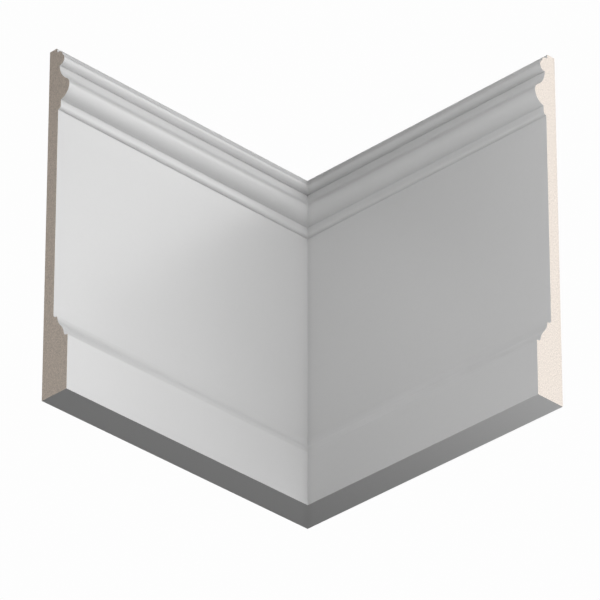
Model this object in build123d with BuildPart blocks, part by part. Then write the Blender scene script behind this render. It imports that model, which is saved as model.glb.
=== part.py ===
"""Moulded skirting board turning an inside corner: two lengths of one section, mitred together.

Millimetres, +Z up. The origin is the corner of the room at floor level, where the two walls meet
the floor. The left board lies against the wall that runs along -Y. The right board lies against
the wall that leaves the corner at the corner angle, which is along +X when that is a right angle.
"""

import os
from math import sqrt

from build123d import *

# The boards
board_height = 184.0
board_thickness = 16.0
left_length = 167.0
right_length = 160.0
corner_angle = 90.0

# Plinth and the ogee over it: widths run back towards the wall, heights run up
plinth_height = 28.0
plinth_ledge = 2.35
ogee_height = 12.0
ogee_turn_height = 6.45
ogee_ledge = 2.5
ledge_hollow_radius = 1.7

# Flat panel between the ogee and the top moulding
panel_thickness = 6.4

# Top moulding, from the panel up
step_radius = 1.7
fillet_height = 4.7
torus_reach = 13.55
torus_lower_radius = 6.45
torus_turn_height = 3.66
cove_rise = 12.7
cove_setback = 3.05
bead_reach = 9.8
bead_radius = 2.8

# Top edge, from the bead up
shoulder_setback = 1.3
shoulder_rise = 4.9
shoulder_ledge = 1.1
rib_hollow_radius = 0.6
rib_height = 2.3

# The rounding that sanding and paint leave on the sharp outer corners
arris_radius = 0.35


def circle_height(centre, radius, reach):
    """How far a circle's edge is above or below its centre, at a reach out from the wall."""
    return sqrt(radius**2 - (reach - centre) ** 2)


def draw_cyma(foot, head, turn_height):
    """A bulge that flows into a hollow at turn_height above the foot, upright at both ends."""
    chord = Vector(*head) - Vector(*foot)
    turn = Vector(*foot) + chord * (turn_height / chord.Y)
    TangentArc(foot, turn, tangent=(0, 1))
    TangentArc(head, turn, tangent=(0, -1))


def hollow_radius(ledge, wanted):
    """The wanted radius, or the largest that its ledge has room for."""
    return min(wanted, 0.9 * (ledge - arris_radius))


def corner_at(sketch, point):
    return sketch.vertices().sort_by_distance(point)[0]


# Corners of the section: distance out from the wall, then height above the floor
plinth_top = (board_thickness, plinth_height)
ogee_foot = (board_thickness - plinth_ledge, plinth_height)
ogee_head = (panel_thickness + ogee_ledge, plinth_height + ogee_height)
panel_foot = (panel_thickness, ogee_head[1])

shoulder_z = board_height - rib_height
bead_nose = (bead_reach, shoulder_z - shoulder_rise)
bead_centre = bead_reach - bead_radius

shoulder_reach = bead_reach - shoulder_setback
bead_head = (shoulder_reach, bead_nose[1] + circle_height(bead_centre, bead_radius, shoulder_reach))
shoulder_end = (shoulder_reach - (shoulder_z - bead_head[1]), shoulder_z)
rib_foot = (shoulder_end[0] - shoulder_ledge, shoulder_z)
rib_head = (rib_foot[0], board_height)

cove_reach = bead_reach - cove_setback
cove_head = (cove_reach, bead_nose[1] - circle_height(bead_centre, bead_radius, cove_reach))

torus_nose = (torus_reach, cove_head[1] - cove_rise)
torus_centre = torus_reach - torus_lower_radius
fillet_reach = panel_thickness + step_radius
fillet_head = (fillet_reach, torus_nose[1] - circle_height(torus_centre, torus_lower_radius, fillet_reach))
fillet_foot = (fillet_reach, fillet_head[1] - fillet_height + step_radius)
panel_head = (panel_thickness, fillet_foot[1] - step_radius)

# The section that both boards share
with BuildSketch() as section:
    with BuildLine():
        # Flat back, underside, plinth, ogee and panel
        Polyline(rib_head, (0, board_height), (0, 0), (board_thickness, 0), plinth_top, ogee_foot)
        draw_cyma(ogee_foot, ogee_head, ogee_turn_height)
        Polyline(ogee_head, panel_foot, panel_head)
        # Quarter-round step, fillet, torus and cove
        TangentArc(panel_head, fillet_foot, tangent=(1, 0))
        Line(fillet_foot, fillet_head)
        TangentArc(torus_nose, fillet_head, tangent=(0, -1))
        draw_cyma(torus_nose, cove_head, torus_turn_height)
        # Bead, rounded shoulder and the rib at the back of the top edge
        TangentArc(bead_nose, cove_head, tangent=(0, -1))
        TangentArc(bead_nose, bead_head, tangent=(0, 1))
        TangentArc(bead_head, shoulder_end, tangent=(0, 1))
        Polyline(shoulder_end, rib_foot, rib_head)
    make_face()

    # Hollows where a ledge meets the face behind it
    fillet(corner_at(section, ogee_foot), hollow_radius(plinth_ledge, ledge_hollow_radius))
    fillet(corner_at(section, panel_foot), hollow_radius(ogee_ledge, ledge_hollow_radius))
    fillet(corner_at(section, rib_foot), hollow_radius(shoulder_ledge, rib_hollow_radius))

    # Softened arrises
    for arris in (plinth_top, ogee_head, rib_head):
        fillet(corner_at(section, arris), arris_radius)

# Seen from above, each board runs along its wall and stands out into the room
left_along = Vector(0, -1, 0)
left_out = left_along.rotate(Axis.Z, 90)
right_along = left_along.rotate(Axis.Z, corner_angle)
right_out = right_along.rotate(Axis.Z, -90)

# Both boards are cut on the upright plane that halves the corner
mitre_plane = Plane(origin=(0, 0, 0), z_dir=left_out.rotate(Axis.Z, corner_angle / 2))

with BuildPart() as left_board:
    with BuildSketch(Plane(origin=(0, 0, 0), x_dir=left_out, z_dir=left_along)):
        add(section.sketch)
    extrude(amount=left_length)
    split(bisect_by=mitre_plane, keep=Keep.BOTTOM)

with BuildPart() as right_board:
    with BuildSketch(Plane(origin=right_along * right_length, x_dir=right_out, z_dir=-right_along)):
        add(section.sketch)
    extrude(amount=right_length)
    split(bisect_by=mitre_plane, keep=Keep.TOP)

left_board.part.label = "left_board"
right_board.part.label = "right_board"

os.makedirs("parts", exist_ok=True)
export_step(left_board.part, "parts/left_board.step")
export_step(right_board.part, "parts/right_board.step")
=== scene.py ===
from math import cos, radians, sin

import bpy
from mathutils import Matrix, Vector

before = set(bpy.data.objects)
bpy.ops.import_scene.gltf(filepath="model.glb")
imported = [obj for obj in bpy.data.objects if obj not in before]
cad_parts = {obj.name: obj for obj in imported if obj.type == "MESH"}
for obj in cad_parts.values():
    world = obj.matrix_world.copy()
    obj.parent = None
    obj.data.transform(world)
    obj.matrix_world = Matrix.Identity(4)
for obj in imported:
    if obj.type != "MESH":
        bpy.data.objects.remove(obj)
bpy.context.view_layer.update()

# Sizes are in metres, powers in watts and angles in degrees. Only the camera's lens and sensor are
# in millimetres. The frame is the part's own: the origin is the corner of the room at floor level,
# the left board runs along -Y and the right board along +X.

# Camera of the photograph: low in the room, looking up into the corner through a long lens
camera_aim = Vector((0.0399, -0.0449, 0.0867))
camera_azimuth = 44.95
camera_pitch = 30.72
camera_distance = 2.917
camera_lens = 382.0
camera_sensor = 36.0

# Floor of the studio, far enough down to leave room for the camera
floor_height = -3.6
floor_size = 80.0
floor_grey = 0.8
floor_roughness = 0.9
floor_mottle_scale = 3
floor_mottle = 0.01

# How light the backdrop and the floor look to the camera, and how much the surroundings light
backdrop_level = 0.985
floor_level = 0.86
surroundings_strength = 0.05

# Far lamps: how far they stand from the corner, and how wide each is
lamp_distance = 3.0
lamp_width = 1.5

# Which way each board runs from the corner, and which way its moulded face looks
board_runs = {"left_board": Vector((0, -1, 0)), "right_board": Vector((1, 0, 0))}
board_faces = {"left_board": Vector((1, 0, 0)), "right_board": Vector((0, -1, 0))}

# How squarely a face must look along its board: primed below the first, bare above the second
bare_from = 0.85
bare_to = 0.95

# Primer: grey in linear light, gloss, and how much each kind of grain shades or lifts it
primer_grey = 0.64
primer_roughness_low = 0.28
primer_roughness_high = 0.31
primer_ior = 1.5
primer_specular = 0.5
mottle_scale = 30
mottle_shade = 0.006
speck_scale = 700
speck_shade = 0.01
peel_scale = 650
peel_height = 0.000012
line_scale = 1800
line_stretch = 60
line_height = 0.000003

# Painted shade along the mitre, for the shade in the inner corner: how far it reaches along each
# board, and how light it is at the joint
painted_shade_reach = 0.0045
painted_shade_level = 0.935

# Sawn fibreboard: colours in linear light, dullness, and grain. The right board's end is less warm
# than the left's as a painted sheen, for the whitening of its brightly lit end
fibreboard_colours = {"left_board": (0.670, 0.581, 0.501), "right_board": (0.620, 0.563, 0.511)}
fibreboard_roughness_low = 0.85
fibreboard_roughness_high = 0.97
fibreboard_specular = 0.2
clump_scale = 1100
clump_shade = 0.29
clump_stretch = 0.7
fibre_scale = 2400
fibre_shade = 0.5
fibre_stretch = 1.6
grain_height = 0.00001

# Darker skin at the back of the fibreboard
skin_level = 0.97
skin_from = 0.0003
skin_to = 0.0012


def add_node(tree, kind, inputs=None, **settings):
    """A new node, with its settings made and its inputs set to values or linked to sockets."""
    made = tree.nodes.new(kind)
    for name, value in settings.items():
        setattr(made, name, value)
    for socket, value in (inputs or {}).items():
        if isinstance(value, bpy.types.NodeSocket):
            tree.links.new(value, made.inputs[socket])
        else:
            made.inputs[socket].default_value = value
    return made


def emptied_tree(owner):
    """The node tree of a new material or world, with no nodes in it yet."""
    owner.use_nodes = True
    owner.node_tree.nodes.clear()
    return owner.node_tree


def noise(tree, place, scale, detail=2.0, roughness=0.5):
    """Grain of about 1/scale metres, from 0 to 1 with a mean of one half."""
    inputs = {"Vector": place, "Scale": scale, "Detail": detail, "Roughness": roughness}
    return add_node(tree, "ShaderNodeTexNoise", inputs).outputs["Fac"]


def spread(tree, value, low, high, start=0.0, end=1.0, curve="LINEAR"):
    """The value, moved from the range start to end into the range low to high."""
    inputs = {"Value": value, "From Min": start, "From Max": end, "To Min": low, "To Max": high}
    return add_node(tree, "ShaderNodeMapRange", inputs, interpolation_type=curve).outputs["Result"]


def around(tree, grain, middle, amount):
    """Grain that runs from 0 to 1, moved to run by an amount to both sides of a middle."""
    return spread(tree, grain, middle - amount, middle + amount)


def maths(tree, operation, first, second=0.0):
    """The result of a maths node on two values or sockets."""
    return add_node(tree, "ShaderNodeMath", {0: first, 1: second}, operation=operation).outputs[0]


def along(tree, vector, direction):
    """The part of a vector that points in a direction."""
    inputs = {0: vector, 1: direction}
    return add_node(tree, "ShaderNodeVectorMath", inputs, operation="DOT_PRODUCT").outputs["Value"]


def stretched(tree, place, direction, factor):
    """The place, drawn out along an axis of the frame, so that grain runs that way."""
    scale = [1 / factor if abs(axis) > 0.5 else 1.0 for axis in direction]
    return add_node(tree, "ShaderNodeMapping", {"Vector": place, "Scale": scale}).outputs["Vector"]


def tinted(tree, colour, value):
    """One colour, made lighter or darker by a value round 1."""
    inputs = {0: colour, "Scale": value}
    return add_node(tree, "ShaderNodeVectorMath", inputs, operation="SCALE").outputs["Vector"]


def bump(tree, grain, height, normal=None):
    """The normal of a surface that grain lifts by up to a height, over another normal if given."""
    inputs = {"Height": grain, "Distance": height}
    if normal is not None:
        inputs["Normal"] = normal
    return add_node(tree, "ShaderNodeBump", inputs).outputs["Normal"]


def mitre_painted_shade(tree, place):
    """Painted shade: the colour darkened along the mitre, for the shade in the inner corner where
    the boards meet.
    """
    from_joint = maths(tree, "ABSOLUTE", along(tree, place, Vector((1, 1, 0))))
    return spread(tree, from_joint, painted_shade_level, 1.0, end=painted_shade_reach, curve="SMOOTHSTEP")


def primer_shader(tree, place, run):
    """Sprayed white primer: satin, with a faint orange peel and fine lines along the board."""
    mottle = noise(tree, place, mottle_scale, detail=3)
    speck = noise(tree, place, speck_scale)
    peel = noise(tree, place, peel_scale, roughness=0.4)
    lines = noise(tree, stretched(tree, place, run, line_stretch), line_scale)

    shade = maths(
        tree,
        "ADD",
        around(tree, mottle, 0.0, mottle_shade),
        around(tree, speck, 1.0, speck_shade),
    )
    # Painted shade: the primer's colour is darkened along the mitre, for the shade in the inner
    # corner
    shade = maths(tree, "MULTIPLY", shade, mitre_painted_shade(tree, place))
    normal = bump(tree, peel, peel_height)
    normal = bump(tree, lines, line_height, normal)
    inputs = {
        "Base Color": tinted(tree, (primer_grey, primer_grey, primer_grey), shade),
        "Roughness": spread(tree, mottle, primer_roughness_low, primer_roughness_high),
        "Normal": normal,
        "IOR": primer_ior,
        "Specular IOR Level": primer_specular,
    }
    return add_node(tree, "ShaderNodeBsdfPrincipled", inputs).outputs["BSDF"]


def fibreboard_shader(tree, place, face, base_colour):
    """Sawn fibreboard: warm, dull and furry, with a slightly darker skin at the back."""
    clump_place = stretched(tree, place, face, clump_stretch)
    clumps = noise(tree, clump_place, clump_scale, detail=3, roughness=0.6)
    fibre_place = stretched(tree, clump_place, Vector((0, 0, 1)), fibre_stretch)
    fibres = noise(tree, fibre_place, fibre_scale)

    shade = maths(
        tree,
        "ADD",
        around(tree, clumps, 0.0, clump_shade),
        around(tree, fibres, 1.0, fibre_shade),
    )
    skin = spread(tree, along(tree, place, face), skin_level, 1.0, skin_from, skin_to)
    inputs = {
        "Base Color": tinted(tree, base_colour, maths(tree, "MULTIPLY", shade, skin)),
        "Roughness": spread(tree, clumps, fibreboard_roughness_low, fibreboard_roughness_high),
        "Normal": bump(tree, maths(tree, "ADD", clumps, fibres), grain_height),
        "Specular IOR Level": fibreboard_specular,
    }
    return add_node(tree, "ShaderNodeBsdfPrincipled", inputs).outputs["BSDF"]


def board_material(board):
    """Primer all over, and bare fibreboard on the end that is sawn square."""
    material = bpy.data.materials.new(board + "_finish")
    tree = emptied_tree(material)
    spot = add_node(tree, "ShaderNodeTexCoord")
    place, normal = spot.outputs["Object"], spot.outputs["Normal"]
    run, face = board_runs[board], board_faces[board]
    shaders = {
        0: spread(tree, along(tree, normal, run), 0.0, 1.0, bare_from, bare_to),
        1: primer_shader(tree, place, run),
        2: fibreboard_shader(tree, place, face, fibreboard_colours[board]),
    }
    mixed = add_node(tree, "ShaderNodeMixShader", shaders).outputs["Shader"]
    add_node(tree, "ShaderNodeOutputMaterial", {"Surface": mixed})
    return material


def finish_boards():
    """Each board's own finish, in the material slot that it has from CAD."""
    for board in board_runs:
        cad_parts[board].data.materials[0] = board_material(board)


def floor_material():
    """Pale and dull. It glows for the camera alone, so it sends the part no light of its own."""
    material = bpy.data.materials.new("studio_floor")
    tree = emptied_tree(material)
    place = add_node(tree, "ShaderNodeTexCoord").outputs["Object"]
    mottle = around(tree, noise(tree, place, floor_mottle_scale), 1.0, floor_mottle)
    seen = add_node(tree, "ShaderNodeLightPath").outputs["Is Camera Ray"]
    inputs = {
        "Base Color": tinted(tree, (floor_grey, floor_grey, floor_grey), mottle),
        "Roughness": floor_roughness,
        "Emission Color": (1, 1, 1, 1),
        "Emission Strength": spread(tree, seen, 0.0, floor_level),
    }
    shader = add_node(tree, "ShaderNodeBsdfPrincipled", inputs)
    add_node(tree, "ShaderNodeOutputMaterial", {"Surface": shader.outputs["BSDF"]})
    return material


def lay_floor():
    """A square floor, level, with its middle under the corner."""
    mesh = bpy.data.meshes.new("studio_floor")
    half = floor_size / 2
    corners = [(-half, -half, 0), (half, -half, 0), (half, half, 0), (-half, half, 0)]
    mesh.from_pydata(corners, [], [(0, 1, 2, 3)])
    mesh.materials.append(floor_material())
    floor = bpy.data.objects.new("studio_floor", mesh)
    floor.location.z = floor_height
    bpy.context.scene.collection.objects.link(floor)


def light_surroundings():
    """A white backdrop for the camera, and faint light from all round for the part."""
    world = bpy.data.worlds.new("studio")
    tree = emptied_tree(world)
    seen = add_node(tree, "ShaderNodeLightPath").outputs["Is Camera Ray"]
    strength = spread(tree, seen, surroundings_strength, backdrop_level)
    light = add_node(tree, "ShaderNodeBackground", {"Color": (1, 1, 1, 1), "Strength": strength})
    add_node(tree, "ShaderNodeOutputWorld", {"Surface": light.outputs["Background"]})
    bpy.context.scene.world = world


def towards(azimuth, elevation):
    """The direction from the corner to a place in the room, azimuth 0 at -Y and 90 at +X."""
    angle = radians(azimuth)
    level = cos(radians(elevation))
    return Vector((sin(angle) * level, -cos(angle) * level, sin(radians(elevation))))


def add_panel(name, centre, facing, width, height, power):
    """A soft light of a given width and height, at a place, turned to face one way."""
    data = bpy.data.lights.new(name, "AREA")
    data.shape = "RECTANGLE"
    data.size = width
    data.size_y = height
    data.energy = power
    light = bpy.data.objects.new(name, data)
    light.location = centre
    light.rotation_mode = "QUATERNION"
    light.rotation_quaternion = (-Vector(facing)).to_track_quat("Z", "Y")
    light.visible_camera = False
    bpy.context.scene.collection.objects.link(light)


def add_far_lamp(name, azimuth, elevation, power):
    """A soft square light far off, turned to face the corner."""
    direction = towards(azimuth, elevation)
    add_panel(name, direction * lamp_distance, -direction, lamp_width, lamp_width, power)


def light_from_afar():
    """The main lights: three on the moulded side, and one on the backs and the top edges."""
    add_far_lamp("right_lamp", azimuth=120, elevation=30, power=12.3)
    add_far_lamp("level_lamp", azimuth=120, elevation=0, power=6.0)
    add_far_lamp("left_lamp", azimuth=-30, elevation=0, power=4.9)
    add_far_lamp("rear_lamp", azimuth=225, elevation=30, power=30.0)


def light_backs():
    """A panel as tall as the boards, level with them, so that it leaves the underside dark."""
    add_panel("rear_panel", (-0.5, 0.5, 0.092), (1, -1, 0), width=1.0, height=0.18, power=3.5)


def light_left_board():
    """Two panels that face the left board, which grows lighter towards its free end."""
    add_panel("side_panel", (0.35, 0.0, 0.1), (-1, 0, 0), width=0.4, height=0.6, power=1.08)
    add_panel("side_high", (0.35, 0.3, 0.5), (-1, 0, 0), width=0.2, height=0.2, power=0.14)


def light_right_board():
    """Two panels that face the right board, one low and wide, one high and narrow."""
    add_panel("front_strip", (0.25, -0.5, 0.0), (0, 1, 0), width=0.75, height=0.25, power=0.715)
    add_panel("front_panel", (0.5, -0.5, 0.375), (0, 1, 0), width=0.25, height=0.5, power=1.07)


def light_above_and_below():
    """A panel overhead, one underneath, and a small one by the right end of the underside."""
    add_panel("high_panel", (0.5, -0.3, 0.6), (0, 0, -1), width=0.2, height=0.2, power=0.67)
    add_panel("low_panel", (0.3, -0.1, -0.35), (0, 0, 1), width=0.2, height=0.6, power=0.37)
    add_panel("tip_panel", (0.2, 0.0, -0.1), (-0.6, 0, 1), width=0.1, height=0.1, power=0.02)


def set_camera():
    """The photograph's viewing direction, without its lens shift."""
    data = bpy.data.cameras.new("camera")
    data.lens = camera_lens
    data.sensor_width = camera_sensor
    camera = bpy.data.objects.new("camera", data)
    back = towards(camera_azimuth, -camera_pitch)
    camera.location = camera_aim + back * camera_distance
    camera.rotation_mode = "QUATERNION"
    camera.rotation_quaternion = back.to_track_quat("Z", "Y")
    bpy.context.scene.collection.objects.link(camera)
    bpy.context.scene.camera = camera


finish_boards()
lay_floor()
light_surroundings()
light_from_afar()
light_backs()
light_left_board()
light_right_board()
light_above_and_below()
set_camera()
bpy.context.scene.view_settings.view_transform = "Standard"
